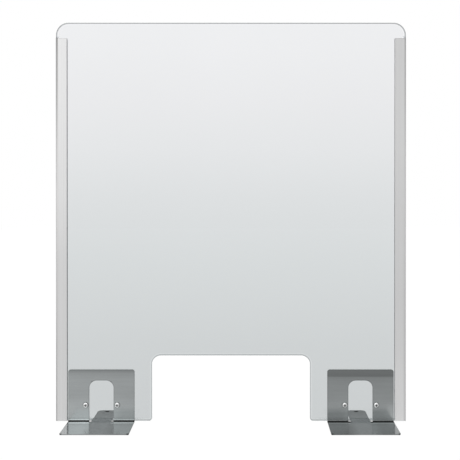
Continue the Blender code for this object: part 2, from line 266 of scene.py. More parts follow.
def combined(base, steps, name):
    """Applies (operation, bmesh) steps to a base bmesh as exact Booleans and returns the mesh."""
    helpers = []
    body = bpy.data.objects.new("body", mesh_of(base, "body"))
    bpy.context.scene.collection.objects.link(body)
    for operation, shape in steps:
        helper = bpy.data.objects.new("helper", mesh_of(shape, "helper"))
        bpy.context.scene.collection.objects.link(helper)
        modifier = body.modifiers.new(operation, "BOOLEAN")
        modifier.operation = operation
        modifier.object = helper
        helpers.append(helper)
    graph = bpy.context.evaluated_depsgraph_get()
    mesh = bpy.data.meshes.new_from_object(body.evaluated_get(graph))
    mesh.name = name
    mesh.materials.clear()
    mesh.set_sharp_from_angle(angle=SHARP_ANGLE)
    for helper in [body, *helpers]:
        bpy.data.objects.remove(helper, do_unlink=True)
    return mesh


def add_piece(name, mesh, looks, node, location=(0, 0, 0), rotation=(0, 0, 0)):
    """Adds a finished piece that stands for one CAD node. Pieces may share a mesh."""
    piece = bpy.data.objects.new(name, mesh)
    bpy.context.scene.collection.objects.link(piece)
    while len(mesh.materials) < len(looks):
        mesh.materials.append(None)
    for material_slot, look in zip(piece.material_slots, looks):
        material_slot.link = "OBJECT"
        material_slot.material = look
    piece.location = location
    piece.rotation_euler = rotation
    weighted = piece.modifiers.new("face weighted normals", "WEIGHTED_NORMAL")
    weighted.keep_sharp = True
    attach(piece, "root")
    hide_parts(node)
    return piece


# ---------------------------------------------------------------- material tools


def wire(tree, kind, inputs=None, **settings):
    """Adds one shader node. An input that is a socket is linked, and any other is set."""
    node = tree.nodes.new("ShaderNode" + kind)
    for name, value in settings.items():
        setattr(node, name, value)
    for name, value in (inputs or {}).items():
        if isinstance(value, bpy.types.NodeSocket):
            tree.links.new(value, node.inputs[name])
        else:
            node.inputs[name].default_value = value
    return node


def maths(tree, operation, first, second=0.0, third=0.0):
    return wire(tree, "Math", {0: first, 1: second, 2: third}, operation=operation).outputs[0]


def product(tree, first, *others):
    """All the given numbers multiplied together."""
    for other in others:
        first = maths(tree, "MULTIPLY", first, other)
    return first


def rest_of(tree, share):
    """One minus the share."""
    return maths(tree, "SUBTRACT", 1.0, share)


def between(tree, share, first, second):
    """The first number where the share is 0 and the second where it is 1."""
    return wire(tree, "Mix", {0: share, 2: first, 3: second}, data_type="FLOAT").outputs[0]


def colour_between(tree, share, first, second):
    return wire(tree, "Mix", {0: share, 6: first, 7: second}, data_type="RGBA").outputs[2]


def shader_between(tree, share, first, second):
    return wire(tree, "MixShader", {0: share, 1: first, 2: second}).outputs[0]


def object_place(tree):
    return wire(tree, "TexCoord").outputs["Object"]


def distance_of(tree, across, along):
    """Length of the vector with the two given parts."""
    vector = wire(tree, "CombineXYZ", {0: across, 1: along}).outputs[0]
    return wire(tree, "VectorMath", {0: vector}, operation="LENGTH").outputs["Value"]


def spread(tree, value, low, high, to_low=0.0, to_high=1.0, smooth=True):
    """Carries a value from one range to another, held at the ends."""
    inputs = {"Value": value, "From Min": low, "From Max": high, "To Min": to_low, "To Max": to_high}
    kind = "SMOOTHSTEP" if smooth else "LINEAR"
    return wire(tree, "MapRange", inputs, interpolation_type=kind, clamp=True).outputs["Result"]


def bump_of(tree, value, low, high, fade):
    """One between low and high, fading to zero outside them."""
    rise = spread(tree, value, low - fade, low)
    fall = spread(tree, value, high, high + fade, 1.0, 0.0)
    return product(tree, rise, fall)


def noise(tree, vector, per_metre, detail):
    """Noise of about 0.5 whose grain is set by three counts per metre."""
    scaled = wire(tree, "VectorMath", {0: vector, 1: per_metre}, operation="MULTIPLY").outputs[0]
    inputs = {"Vector": scaled, "Scale": 1.0, "Detail": detail}
    return wire(tree, "TexNoise", inputs).outputs[0]


def varied(tree, value, base, swing):
    """base plus swing times how far the noise value is from its middle."""
    return maths(tree, "MULTIPLY_ADD", maths(tree, "SUBTRACT", value, 0.5), swing, base)


def tinted(tree, colour, factor):
    """A fixed colour times a factor socket."""
    return wire(tree, "VectorMath", {0: colour, 3: factor}, operation="SCALE").outputs[0]


def ramp(tree, factor, stops):
    """Grey or coloured ramp through (position, value) stops."""
    node = wire(tree, "ValToRGB", {0: factor})
    elements = node.color_ramp.elements
    while len(elements) < len(stops):
        elements.new(1.0)
    for element, (position, value) in zip(elements, stops):
        element.position = position
        colour = value if isinstance(value, tuple) else (value, value, value)
        element.color = (*colour, 1.0)
    return node.outputs[0]


def attribute(tree, name):
    return wire(tree, "Attribute", attribute_name=name, attribute_type="GEOMETRY")


def parts_of(tree, vector):
    """The X, Y and Z sockets of a vector."""
    return wire(tree, "SeparateXYZ", {0: vector}).outputs


def raised(tree, height, depth, strength):
    """Bump normal from a height that runs from zero to one, with its depth in metres."""
    inputs = {"Height": height, "Distance": depth, "Strength": strength}
    return wire(tree, "Bump", inputs).outputs[0]


def new_material(name):
    """An empty node material, its tree and its output."""
    material = bpy.data.materials.new(name)
    material.use_nodes = True
    tree = material.node_tree
    tree.nodes.clear()
    return material, tree


def finish_with(tree, shader):
    wire(tree, "OutputMaterial", {"Surface": shader})


def principled(tree, colour, roughness, metallic, normal=None, **extra):
    """Principled shader. Extra inputs are given by name in lower case."""
    inputs = {"Base Color": colour, "Roughness": roughness, "Metallic": metallic}
    inputs.update({name.replace("_", " ").title(): value for name, value in extra.items()})
    if normal is not None:
        inputs["Normal"] = normal
    return wire(tree, "BsdfPrincipled", inputs).outputs[0]


# ---------------------------------------------------------------- materials

# Each stop of a ramp is (place, value), with the place as a share of the height or width of the piece. The
# levels paint in the light and shade of one studio seen from the front. They are not properties of the
# materials, and so they differ between the left and the right piece of a pair.
WHITE = (1, 1, 1, 1)

# The sheet's grey tint with painted light and shade in it, clearer towards the top: what one face lets
# through, from the bottom to the top
ACRYLIC_BODY = (
    (0.00, 0.791),
    (0.08, 0.792),
    (0.19, 0.801),
    (0.31, 0.822),
    (0.43, 0.843),
    (0.56, 0.866),
    (0.68, 0.894),
    (0.81, 0.915),
    (0.93, 0.931),
    (1.00, 0.936),
)
# Painted light: how much of that tint is left out where a channel covers the sheet
ACRYLIC_BARE = ((0.0, 0.9), (0.05, 0.8), (0.18, 0.4), (0.31, 0.28), (0.43, 0.0))
# Painted shade: the face is dimmer by up to ACRYLIC_DIP towards its left side, and these are its shares by
# height
ACRYLIC_LEFT_DIP = ((0.0, 0.3), (0.6, 0.38), (0.755, 0.5), (0.91, 1.0))
ACRYLIC_DIP = 0.019
ACRYLIC_DIP_START = -40 * MM
ACRYLIC_DIP_END = -313 * MM
# The whole face, the painted shade of the dark line along its edges and the painted highlight of the
# lighter ring inside that line
ACRYLIC_GAIN = 1.014
ACRYLIC_EDGE_LINE_SHADE = 0.72
ACRYLIC_RING_HIGHLIGHT = 1.07
ACRYLIC_HUE_TOP = (0.982, 0.986, 0.994)
ACRYLIC_HUE_BOTTOM = (0.970, 0.990, 0.995)
CUT_EDGE_TINT = (0.97, 1.0, 1.01)
CUT_EDGE_GLOW = (0.56, 0.60, 0.61, 1)
CUT_EDGE_HAZE = 0.38
ACRYLIC_MIRROR = 0.04
FRESNEL_POWER = 5.0

ALUMINIUM = (0.792, 0.792, 0.793)

# How light the channels look, and how dark the two lines along their outer edge are: left, then right
CHANNEL_GAIN = (
    ((0.0, 1.05), (0.19, 0.985), (0.42, 0.975), (0.58, 1.05), (0.84, 1.065), (1.0, 1.03)),
    ((0.0, 1.16), (0.06, 1.11), (0.19, 1.02), (0.32, 0.99), (0.58, 1.005), (0.71, 1.03), (1.0, 0.98)),
)
CHANNEL_OUTER_LINE = (
    ((0.0, 0.36), (0.19, 0.24), (0.32, 0.07), (0.58, 0.08), (0.71, 0.25), (0.84, 0.50), (1.0, 0.66)),
    ((0.0, 0.16), (0.19, 0.05), (0.45, 0.0), (0.71, 0.07), (0.84, 0.28), (1.0, 0.35)),
)
CHANNEL_SECOND_LINE = (
    ((0.0, 0.07), (0.32, 0.10), (0.45, 0.03), (0.58, 0.03), (0.71, 0.12), (0.84, 0.33), (1.0, 0.58)),
    ((0.0, 0.23), (0.19, 0.20), (0.32, 0.15), (0.45, 0.09), (0.58, 0.03), (0.84, 0.10), (1.0, 0.13)),
)

# How light the brushed steel looks up the plate, across the foot and on the tongue, and where along the
# blank the painted shade in the fold starts and how far it stops short of the end of the bend
STEEL_SHEEN = {
    "left": {
        "plate": (
            (0.0, 1.14),
            (0.055, 1.14),
            (0.068, 0.74),
            (0.082, 0.80),
            (0.10, 1.06),
            (0.30, 1.10),
            (0.42, 1.04),
            (0.50, 0.98),
            (0.80, 0.97),
            (0.87, 0.915),
            (0.93, 0.85),
            (0.955, 0.74),
            (1.0, 0.62),
        ),
        "foot": (
            (0.0, 0.90),
            (0.1, 0.97),
            (0.28, 1.09),
            (0.40, 1.0),
            (0.62, 0.98),
            (0.74, 0.82),
            (1.0, 0.82),
        ),
        "tongue": 0.83,
        "fold_start": -3.4 * MM,
        "fold_end": 0.7 * MM,
    },
    "right": {
        "plate": (
            (0.0, 1.17),
            (0.055, 1.17),
            (0.068, 0.86),
            (0.082, 0.92),
            (0.10, 1.20),
            (0.17, 1.18),
            (0.264, 1.10),
            (0.34, 0.97),
            (0.415, 0.90),
            (0.62, 0.84),
            (0.774, 0.79),
            (0.854, 0.71),
            (0.873, 0.50),
            (1.0, 0.53),
        ),
        "foot": (
            (0.0, 0.55),
            (0.24, 0.57),
            (0.42, 1.05),
            (0.60, 1.05),
            (0.76, 0.70),
            (0.88, 0.70),
            (1.0, 0.95),
        ),
        "tongue": 0.87,
        "fold_start": -8.0 * MM,
        "fold_end": 1.4 * MM,
    },
}

# Painted light and shade on the tongue: its own level is multiplied by these, from the near end to the far
# end of a stretch along it
TONGUE_NEAR_GAIN = 1.25
TONGUE_FAR_GAIN = 0.84
TONGUE_GAIN_REACH = (5 * MM, 75 * MM)

STEEL_COLOUR = (0.43, 0.455, 0.458)
# Painted shade in the fold and in and round the tongue's hole: a matt dark surface mixed in there
FOLD_AND_HOLE_SHADE = (0.012, 0.013, 0.013, 1)
BRIGHT_STEEL = (0.74, 0.745, 0.745)
RUBBER = (0.022, 0.022, 0.023)
NYLON = (0.74, 0.74, 0.71)
SOFT_PVC = (0.42, 0.43, 0.44)


def acrylic_tint(tree):
    """Place, level and hue of what one face lets through. Painted light and shade make it clearer towards
    the top, and low down where a channel covers it, and a little darker towards the upper left."""
    place = object_place(tree)
    x, _, z = parts_of(tree, place)
    share = spread(tree, z, SHEET_LOW.z, SHEET_HIGH.z, smooth=False)
    covered = maths(tree, "GREATER_THAN", maths(tree, "ABSOLUTE", x), CHANNEL_LOW.x)
    bare = product(tree, covered, ramp(tree, share, ACRYLIC_BARE))
    body = between(tree, bare, ramp(tree, share, ACRYLIC_BODY), 1.0)
    to_left = spread(tree, x, ACRYLIC_DIP_END, ACRYLIC_DIP_START, 1.0, 0.0, smooth=False)
    dip = product(tree, to_left, ramp(tree, share, ACRYLIC_LEFT_DIP))
    haze = noise(tree, place, (9, 9, 5), 3.0)
    dimmed = maths(tree, "MULTIPLY_ADD", dip, -ACRYLIC_DIP, 1.0)
    body = product(tree, body, dimmed, varied(tree, haze, 1.0, 0.006))
    hue = ramp(tree, share, ((0.0, ACRYLIC_HUE_BOTTOM), (0.4, ACRYLIC_HUE_BOTTOM), (0.8, ACRYLIC_HUE_TOP)))
    return place, body, hue


def acrylic_face_material():
    """Clear sheet with a painted dark shade line along its edges and a painted highlight ring inside that
    line.
    """
    material, tree = new_material("acrylic face")
    place, body, hue = acrylic_tint(tree)
    rim = attribute(tree, "rim").outputs["Fac"]
    line = spread(tree, rim, 0.5, 0.62)
    ring = bump_of(tree, rim, 0.16, 0.42, 0.10)
    body = product(tree, body, maths(tree, "MULTIPLY_ADD", ring, ACRYLIC_RING_HIGHLIGHT - 1, 1.0))
    level = maths(tree, "MULTIPLY_ADD", line, ACRYLIC_EDGE_LINE_SHADE, product(tree, body, rest_of(tree, line)))
    level = product(tree, level, ACRYLIC_GAIN)
    clear = wire(tree, "BsdfTransparent", {"Color": tinted(tree, hue, level)}).outputs[0]
    wipes = noise(tree, place, (60, 60, 14), 4.0)
    inputs = {"Color": WHITE, "Roughness": varied(tree, wipes, 0.03, 0.03)}
    gloss = wire(tree, "BsdfGlossy", inputs).outputs[0]
    finish_with(tree, shader_between(tree, mirror_share(tree), clear, gloss))
    return material


def mirror_share(tree):
    """Share of light a clear plastic face mirrors, more at a grazing angle."""
    facing = wire(tree, "LayerWeight", {"Blend": 0.5}).outputs["Facing"]
    grazing = maths(tree, "POWER", facing, FRESNEL_POWER)
    return maths(tree, "MULTIPLY_ADD", grazing, 1 - ACRYLIC_MIRROR, ACRYLIC_MIRROR)


def acrylic_edge_material():
    """The cut and flame-polished edge: it carries light along the sheet, so it is dimmer and more solid."""
    material, tree = new_material("acrylic edge")
    drag = noise(tree, object_place(tree), (420, 420, 420), 3.0)
    level = varied(tree, drag, 0.62, 0.10)
    clear = wire(tree, "BsdfTransparent", {"Color": tinted(tree, CUT_EDGE_TINT, level)}).outputs[0]
    glow = wire(tree, "BsdfDiffuse", {"Color": CUT_EDGE_GLOW, "Roughness": 0.4}).outputs[0]
    body = shader_between(tree, CUT_EDGE_HAZE, clear, glow)
    inputs = {"Color": WHITE, "Roughness": varied(tree, drag, 0.12, 0.10)}
    gloss = wire(tree, "BsdfGlossy", inputs).outputs[0]
    finish_with(tree, shader_between(tree, mirror_share(tree), body, gloss))
    return material


def sided_ramp(tree, share, on_right, stops):
    """A ramp up the height that differs between the left and the right side."""
    left, right = (ramp(tree, share, side_stops) for side_stops in stops)
    return between(tree, on_right, left, right)


def aluminium_material():
    """Satin anodised extrusion with die lines along its length. Its level up the height, the darker top end
    and the two dark lines along the outer edge are painted light and shade.
    """
    material, tree = new_material("anodised aluminium")
    place = object_place(tree)
    rim = attribute(tree, "rim").outputs["Fac"]
    lines = noise(tree, place, (700, 700, 1.5), 3.0)
    cloud = noise(tree, place, (30, 30, 9), 2.0)
    x, _, z = parts_of(tree, place)
    length = CHANNEL_HIGH.z - CHANNEL_LOW.z
    share = spread(tree, z, 0.0, length, smooth=False)
    on_right = maths(tree, "GREATER_THAN", x, 0.0)
    from_centre = maths(tree, "ABSOLUTE", x)
    level = product(
        tree,
        varied(tree, lines, 1.0, 0.14),
        varied(tree, cloud, 1.0, 0.03),
        maths(tree, "MULTIPLY_ADD", rim, -0.10, 1.0),
        sided_ramp(tree, share, on_right, CHANNEL_GAIN),
        # Painted shade towards the top end
        spread(tree, z, length - 2.2 * MM, length - 0.6 * MM, 1.0, 0.84),
    )
    edge = CHANNEL_HIGH.x
    # The two painted dark lines along the outer edge
    outer = spread(tree, from_centre, edge - 2.6 * MM, edge - 1.4 * MM)
    second = bump_of(tree, from_centre, edge - 3.7 * MM, edge - 2.6 * MM, 0.8 * MM)
    for line, stops in ((outer, CHANNEL_OUTER_LINE), (second, CHANNEL_SECOND_LINE)):
        shade = product(tree, line, sided_ramp(tree, share, on_right, stops))
        level = product(tree, level, rest_of(tree, shade))
    rough = maths(tree, "MULTIPLY_ADD", rim, -0.05, maths(tree, "MULTIPLY_ADD", lines, 0.22, 0.30))
    normal = raised(tree, lines, 0.02 * MM, 0.35)
    finish_with(tree, principled(tree, tinted(tree, ALUMINIUM, level), rough, 0.85, normal))
    return material


def steel_tone(tree, across, along, beside, sheen):
    """Painted light and shade on the brushed steel: how light it looks up the plate, across the foot, and
    on the tongue.
    """
    height = spread(tree, along, flat_length(0), flat_length(BRACKET_HIGH.z), smooth=False)
    width = spread(tree, across, -BRACKET_WIDTH / 2, BRACKET_WIDTH / 2, smooth=False)
    on_foot = spread(tree, along, -1 * MM, 1 * MM, 1.0, 0.0)
    tone = between(tree, on_foot, ramp(tree, height, sheen["plate"]), ramp(tree, width, sheen["foot"]))
    behind_bend = maths(tree, "GREATER_THAN", along, 0.0)
    within_reach = maths(tree, "LESS_THAN", along, TONGUE_REACH + 0.9 * MM)
    on_the_tongue = product(tree, rest_of(tree, beside), behind_bend, within_reach)
    near, far = (gain * sheen["tongue"] for gain in (TONGUE_NEAR_GAIN, TONGUE_FAR_GAIN))
    tongue = spread(tree, along, *TONGUE_GAIN_REACH, near, far, smooth=False)
    return between(tree, on_the_tongue, tone, tongue)


def head_shade(tree, across, along):
    """Painted dark ring on the plate round each screw head."""
    low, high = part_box("screw_right_inner")
    head = (high.x - low.x) / 2
    seat = centre_of("screw_right_inner")
    from_middle = abs(seat.x - centre_of("bracket_right").x)
    aside = maths(tree, "SUBTRACT", maths(tree, "ABSOLUTE", across), from_middle)
    above = maths(tree, "SUBTRACT", along, flat_length(seat.z))
    reach = distance_of(tree, aside, above)
    return spread(tree, reach, head + 0.5 * MM, head + 1.6 * MM, 0.5, 0.0)


def corner_shade(tree, across, along):
    """Painted shade on the front corners of the foot."""
    half = BRACKET_WIDTH / 2
    at_side = spread(tree, maths(tree, "ABSOLUTE", across), half - 6 * MM, half - 3 * MM)
    at_front = spread(tree, along, 4 * MM - FOOT_REACH, 8 * MM - FOOT_REACH, 1.0, 0.0)
    return product(tree, at_side, at_front, 0.75)


def fold_highlights(tree, along, sheen):
    """Painted highlights: lighter stripes above and below the bend."""
    above = bump_of(tree, along, BEND_LENGTH + 1.2 * MM, BEND_LENGTH + 2.2 * MM, 0.6 * MM)
    below = bump_of(tree, along, -16.5 * MM, sheen["fold_start"] - 4 * MM, 2.5 * MM)
    return maths(tree, "MULTIPLY_ADD", below, 0.5, product(tree, above, 0.3))


def steel_material(name, sheen):
    """Brushed stainless sheet, with the grain across the bracket. It carries painted light and shade: its
    tone by place, painted highlights beside the bend, painted shade round each screw head and on the front
    corners of the foot, and painted shade in the fold and in and round the tongue's hole. It is darker
    along its cut edges. The blank attribute is the place on the flat sheet before folding: across, along
    and through."""
    material, tree = new_material(name)
    blank = attribute(tree, "blank").outputs["Vector"]
    rim = attribute(tree, "rim").outputs["Fac"]
    across, along, _ = parts_of(tree, blank)
    grain = noise(tree, blank, (40, 4200, 4200), 2.0)
    streak = noise(tree, blank, (9, 900, 900), 3.0)
    cloud = noise(tree, blank, (16, 26, 0), 2.0)
    half = TONGUE_WIDTH / 2
    beside = spread(tree, maths(tree, "ABSOLUTE", across), half, half + 2 * MM)
    highlights = product(tree, fold_highlights(tree, along, sheen), beside)
    level = product(
        tree,
        varied(tree, streak, 1.0, 0.16),
        varied(tree, cloud, 1.0, 0.16),
        steel_tone(tree, across, along, beside, sheen),
        maths(tree, "ADD", highlights, 1.0),
        maths(tree, "MULTIPLY_ADD", rim, -0.22, 1.0),
        rest_of(tree, head_shade(tree, across, along)),
        rest_of(tree, corner_shade(tree, across, along)),
    )
    # Painted shade in the fold and in and round the tongue's hole
    fold = bump_of(tree, along, sheen["fold_start"], BEND_LENGTH - sheen["fold_end"], 0.8 * MM)
    fold = product(tree, fold, beside)
    rough = maths(tree, "MULTIPLY_ADD", streak, 0.10, 0.11)
    rough = maths(tree, "MULTIPLY_ADD", fold, 0.25, rough)
    normal = raised(tree, grain, 0.01 * MM, 0.12)
    facing = wire(tree, "NewGeometry").outputs["Normal"]
    tangent = wire(tree, "VectorMath", {0: facing, 1: (1, 0, 0)}, operation="CROSS_PRODUCT").outputs[0]
    colour = tinted(tree, STEEL_COLOUR, level)
    shader = principled(tree, colour, rough, 1.0, normal, anisotropic=0.6, tangent=tangent)
    from_hole = maths(tree, "SUBTRACT", along, TONGUE_REACH - TONGUE_HOLE_INSET)
    from_hole = distance_of(tree, across, from_hole)
    hole = TONGUE_HOLE / 2
    bore = spread(tree, from_hole, hole + 1.3 * MM, hole + 1.8 * MM, 1.0, 0.0)
    painted_shade = wire(tree, "BsdfDiffuse", {"Color": FOLD_AND_HOLE_SHADE, "Roughness": 0.3}).outputs[0]
    shade_share = product(tree, maths(tree, "MAXIMUM", fold, bore), 0.97)
    finish_with(tree, shader_between(tree, shade_share, shader, painted_shade))
    return material


def bright_steel_material():
    """Turned, plated fixings, with turning rings round the axis and painted shade low down where they are
    seated.
    """
    material, tree = new_material("bright steel")
    place = object_place(tree)
    x, y, z = parts_of(tree, place)
    turning = wire(tree, "CombineXYZ", {0: distance_of(tree, x, y), 1: z}).outputs[0]
    rings = noise(tree, turning, (5200, 2600, 1), 2.0)
    specks = noise(tree, place, (700, 700, 700), 3.0)
    level = product(
        tree,
        varied(tree, rings, 1.0, 0.14),
        varied(tree, specks, 1.0, 0.10),
        # Painted shade low on each fixing, where it is seated
        spread(tree, z, 0.0, 0.7 * MM, 0.25, 1.0),
    )
    rough = maths(tree, "MULTIPLY_ADD", rings, 0.16, 0.12)
    normal = raised(tree, rings, 0.01 * MM, 0.2)
    finish_with(tree, principled(tree, tinted(tree, BRIGHT_STEEL, level), rough, 0.5, normal))
    return material


def recess_material():
    """Dull steel inside the cross recess, painted dark for the shade in it."""
    material, tree = new_material("recess steel")
    specks = noise(tree, object_place(tree), (1800, 1800, 1800), 3.0)
    level = varied(tree, specks, 0.16, 0.10)
    rough = varied(tree, specks, 0.55, 0.2)
    finish_with(tree, principled(tree, tinted(tree, BRIGHT_STEEL, level), rough, 1.0))
    return material


def rubber_material():
    """Black rubber with fine ribs across the pads."""
    material, tree = new_material("rubber")
    place = object_place(tree)
    specks = noise(tree, place, (1500, 1500, 1500), 3.0)
    ribs = noise(tree, place, (3, 420, 3), 1.0)
    level = varied(tree, specks, 1.0, 0.6)
    rough = varied(tree, specks, 0.82, 0.2)
    normal = raised(tree, maths(tree, "ADD", specks, ribs), 0.15 * MM, 0.6)
    finish_with(tree, principled(tree, tinted(tree, RUBBER, level), rough, 0.0, normal))
    return material


def moulded_material(name, colour, rough_middle):
    """Moulded or extruded plastic with a fine grain."""
    material, tree = new_material(name)
    place = object_place(tree)
    specks = noise(tree, place, (1200, 1200, 1200), 3.0)
    cloud = noise(tree, place, (90, 90, 30), 2.0)
    level = product(tree, varied(tree, specks, 1.0, 0.08), varied(tree, cloud, 1.0, 0.10))
    rough = varied(tree, specks, rough_middle, 0.15)
    normal = raised(tree, specks, 0.03 * MM, 0.5)
    finish_with(tree, principled(tree, tinted(tree, colour, level), rough, 0.0, normal))
    return material


# ---------------------------------------------------------------- pieces


def sheet_outline():
    """Outer edge of the acrylic: rounded top, side notches for the channels, bottom pass-through."""
    half = SHEET_HIGH.x
    notch = half - NOTCH_INSET
    notch_top = CHANNEL_HIGH.z + GAP
    bottom = SHEET_LOW.z
    cut = CUTOUT_HALF_WIDTH
    right_side = [
        (cut, bottom, LEG_CORNER_RADIUS),
        (notch, bottom, NOTCH_RADIUS),
        (notch, notch_top, 0),
        (half, notch_top, NOTCH_RADIUS),
        (half, SHEET_HIGH.z, SHEET_TOP_RADIUS),
    ]
    left_side = [(-u, v, radius) for u, v, radius in reversed(right_side)]
    cutout_top = [(-cut, CUTOUT_TOP, CUTOUT_TOP_RADIUS), (cut, CUTOUT_TOP, CUTOUT_TOP_RADIUS)]
    return rounded_outline(right_side + left_side + cutout_top)


def add_sheet(looks):
    """The rim attribute is 1 over the edge line, a third over the lighter ring inside it, and 0 beyond."""
    thickness = SHEET_HIGH.y - SHEET_LOW.y
    holes = []
    for word in SCREW_WORDS:
        centre = centre_of(f"screw_{word}")
        holes.append(circle(centre.x, centre.z, SLEEVE_HOLE))
    edge = eased(thickness, SHEET_EASE)
    low = [(SHEET_RING, 0, 0), (SHEET_LINE * 1.12, 0, 0.3), (SHEET_LINE, 0, 1)]
    high = [(inset, thickness, rim) for inset, height, rim in reversed(low)]
    profile = low + edge + high
    bands = range(len(low), len(low) + len(edge) - 1)
    shape = slab([sheet_outline(), *holes], profile, bands)
    for vertex in shape.verts:
        x, z, through = vertex.co
        vertex.co = (x, SHEET_HIGH.y - through, z)
    add_piece("acrylic_screen", mesh_of(shape, "acrylic_screen"), looks, "privacy_panel")


def channel_shape(side, low, high):
    """U section that opens towards the centre line, with its rims marked along the outer corners."""
    outer = high.x if side > 0 else -low.x
    tip = low.x if side > 0 else -high.x
    inner = outer - CHANNEL_WALL
    corners = [
        (tip, low.y, CHANNEL_TIP_RADIUS),
        (outer, low.y, CHANNEL_CORNER_RADIUS),
        (outer, high.y, CHANNEL_CORNER_RADIUS),
        (tip + CHANNEL_BACK_SETBACK, high.y, CHANNEL_TIP_RADIUS),
        (tip + CHANNEL_BACK_SETBACK, high.y - CHANNEL_WALL, CHANNEL_TIP_RADIUS),
        (inner, high.y - CHANNEL_WALL, CHANNEL_ROOT_RADIUS),
        (inner, low.y + CHANNEL_WALL, CHANNEL_ROOT_RADIUS),
        (tip, low.y + CHANNEL_WALL, CHANNEL_TIP_RADIUS),
    ]
    outline = rounded_outline([(side * x, y, radius) for x, y, radius in corners])
    return slab([outline], ringed(eased(high.z - low.z, CHANNEL_EASE), CHANNEL_RIM))


def add_channels(looks):
    for word, side in SIDES:
        node = f"edge_channel_{word}"
        low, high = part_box(node)
        mesh = mesh_of(channel_shape(side, low, high), "channel_extrusion")
        add_piece(f"channel_extrusion_{word}", mesh, looks, node, (0, 0, low.z))


def flat_length(height):
    """Distance along the flat blank from the start of the bend to a height on the folded plate."""
    return BEND_LENGTH + height - STEEL_TOP - BEND_RADIUS


def slot_outline():
    """The U-shaped slot that frees the tongue from the plate, on the flat blank."""
    outer = OPENING_WIDTH / 2
    inner = TONGUE_WIDTH / 2
    top = flat_length(OPENING_TOP)
    return rounded_outline(
        [
            (-outer, -RELIEF_DEPTH, RELIEF_RADIUS),
            (-inner, -RELIEF_DEPTH, RELIEF_RADIUS),
            (-inner, TONGUE_REACH, TONGUE_CORNER_RADIUS),
            (inner, TONGUE_REACH, TONGUE_CORNER_RADIUS),
            (inner, -RELIEF_DEPTH, RELIEF_RADIUS),
            (outer, -RELIEF_DEPTH, RELIEF_RADIUS),
            (outer, top, OPENING_RADIUS),
            (-outer, top, OPENING_RADIUS),
        ]
    )


def blank_outline():
    """Outer edge of one bracket's flat blank."""
    half = BRACKET_WIDTH / 2
    top = flat_length(BRACKET_HIGH.z)
    return rounded_outline(
        [
            (-half, -FOOT_REACH, FOOT_CORNER_RADIUS),
            (half, -FOOT_REACH, FOOT_CORNER_RADIUS),
            (half, top, PLATE_CORNER_RADIUS),
            (-half, top, PLATE_CORNER_RADIUS),
        ]
    )


def on_tongue(x, along):
    """True within the rounded outline of the tongue, which stays flat."""
    past_side = max(0, abs(x) - TONGUE_WIDTH / 2 + TONGUE_CORNER_RADIUS)
    past_end = max(0, along - TONGUE_REACH + TONGUE_CORNER_RADIUS)
    return math.hypot(past_side, past_end) < TONGUE_CORNER_RADIUS + GAP


def folded(point):
    """Carries a point (x, along the blank, through the thickness) of the flat blank to the bracket."""
    x, along, through = point
    if along <= 0 or on_tongue(x, along):
        return Vector((x, BEND_START + along, STEEL_BOTTOM + through))
    radius = BEND_RADIUS + STEEL - through
    centre_z = STEEL_TOP + BEND_RADIUS
    if along >= BEND_LENGTH:
        return Vector((x, BEND_START + radius, centre_z + along - BEND_LENGTH))
    angle = along / BEND_LENGTH * math.pi / 2
    return Vector((x, BEND_START + radius * math.sin(angle), centre_z - radius * math.cos(angle)))


def bracket_mesh():
    """One bracket, cut flat with its slot and holes, then folded. Both sides share it."""
    middle = centre_of("bracket_right").x
    holes = []
    for word in ("right_inner", "right_outer"):
        centre = centre_of(f"screw_{word}")
        holes.append(circle(centre.x - middle, flat_length(centre.z), CLEARANCE_HOLE))
    holes.append(circle(0, TONGUE_REACH - TONGUE_HOLE_INSET, TONGUE_HOLE))
    profile = ringed(eased(STEEL, STEEL_EASE), STEEL_RIM)
    blank = slab([blank_outline(), slot_outline(), *holes], profile)
    for step in range(BEND_STEPS + 1):
        bmesh.ops.bisect_plane(
            blank,
            geom=blank.verts[:] + blank.edges[:] + blank.faces[:],
            dist=MERGE,
            plane_co=(0, BEND_LENGTH * step / BEND_STEPS, 0),
            plane_no=(0, 1, 0),
        )
    flat_place = blank.verts.layers.float_vector.new("blank")
    for vertex in blank.verts:
        vertex[flat_place] = vertex.co
        vertex.co = folded(vertex.co)
    return mesh_of(blank, "folded_bracket")


def add_brackets(looks):
    mesh = bracket_mesh()
    for word, _ in SIDES:
        node = f"bracket_{word}"
        location = (centre_of(node).x, 0, 0)
        add_piece(f"folded_bracket_{word}", mesh, [looks[word]], node, location)


def add_pads(looks):
    for word, _ in SIDES:
        for kind in ("foot_pad", "tongue_pad"):
            node = f"{kind}_{word}"
            low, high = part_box(node)
            half = (high - low) / 2
            signs = ((-1, -1), (1, -1), (1, 1), (-1, 1))
            outline = rounded_outline([(u * half.x, v * half.y, PAD_CORNER_RADIUS) for u, v in signs])
            shape = slab([outline], eased(high.z - low.z, PAD_EASE))
            centre = centre_of(node)
            location = (centre.x, centre.y, low.z)
            add_piece(f"rubber_{node}", mesh_of(shape, kind), looks, node, location)


def recess_cutter():
    """Tapered cross that sinks a cross recess into the crown of a screw head. It reaches as far above
    the crown as below it, and has its nominal span at the crown."""
    span = RECESS_SPAN / 2
    wing = RECESS_WING / 2
    quarter = [(span, -wing), (span, wing), (wing, wing)]
    outline = []
    for cos, sin in ((1, 0), (0, 1), (-1, 0), (0, -1)):
        outline += [Vector((cos * u - sin * v, sin * u + cos * v)) for u, v in quarter]
    shape = slab([outline], [(0, 0, 0), (0, 2 * RECESS_DEPTH, 0)])
    floor = HEAD_HEIGHT - RECESS_DEPTH
    for vertex in shape.verts:
        scale = RECESS_TAPER + (1 - RECESS_TAPER) * vertex.co.z / RECESS_DEPTH
        vertex.co.x *= scale
        vertex.co.y *= scale
        vertex.co.z += floor
    return shape


